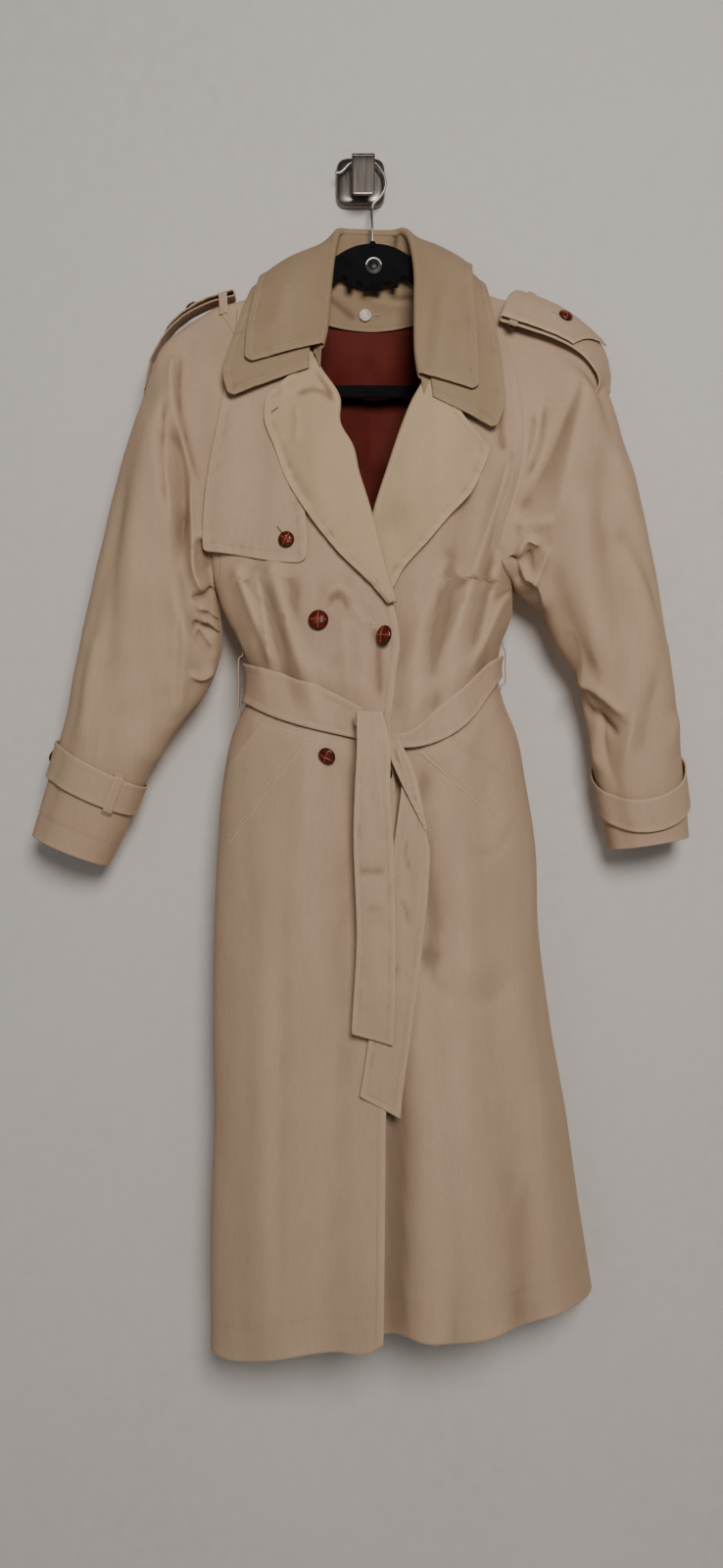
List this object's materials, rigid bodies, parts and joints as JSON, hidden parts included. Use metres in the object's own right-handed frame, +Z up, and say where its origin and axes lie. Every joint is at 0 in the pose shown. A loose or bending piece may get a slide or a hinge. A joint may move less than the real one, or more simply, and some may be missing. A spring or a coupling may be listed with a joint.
{
  "type": "trench coat on a wall hook",
  "caption": "Belted double-breasted trench coat, open at the neck, hanging on a slim clothes hanger from a square wall hook.",
  "frame": {"origin": "middle of the back face of the wall hook's plate, which lies on the wall", "axes": "+Z up, +X to the right as seen from the front, the wall is the plane y = 0 and the coat hangs on its -Y side"},
  "size_m": [0.678, 0.1415, 1.2393],
  "materials": {
    "gabardine": "matt twill weave, beige",
    "lining": "soft satin weave, rust brown",
    "thread": "twisted thread, beige",
    "button_leather": "glossy red-brown",
    "clear_plastic": "clear, polished",
    "black_flock": "short black flock",
    "steel": "brushed stainless"
  },
  "bodies": {
    "root": {"back": "gabardine", "belt_back": "gabardine", "belt_front_left": "gabardine", "belt_front_right": "gabardine", "belt_knot": "gabardine", "belt_loop_left": "thread", "belt_loop_right": "gabardine", "belt_tail_top": "gabardine", "belt_tail_under": "gabardine", "button_cuff_left": "button_leather", "button_cuff_right": "button_leather", "button_epaulette_left": "button_leather", "button_epaulette_right": "button_leather", "button_front_1": "button_leather", "button_front_2": "button_leather", "button_front_3": "button_leather", "button_front_4": "button_leather", "button_neck": "clear_plastic", "button_storm_flap": "button_leather", "collar_under": "gabardine", "collar_upper": "gabardine", "cuff_loop_left": "gabardine", "cuff_loop_right": "gabardine", "cuff_strap_left": "gabardine", "cuff_strap_right": "gabardine", "epaulette_left": "gabardine", "epaulette_loop_left": "gabardine", "epaulette_loop_right": "gabardine", "epaulette_right": "gabardine", "front_left": "gabardine", "front_right": "gabardine", "hanger_badge": "black_flock", "hanger_body": "black_flock", "hanger_hook": "steel", "hook_plate": "steel", "hook_strap": "steel", "lapel_left": "gabardine", "lapel_right": "gabardine", "lining_back": "lining", "neck_facing": "gabardine", "pocket_welt_left": "gabardine", "pocket_welt_right": "gabardine", "sleeve_left": "gabardine", "sleeve_right": "gabardine", "storm_flap": "gabardine"}
  },
  "joints": []
}
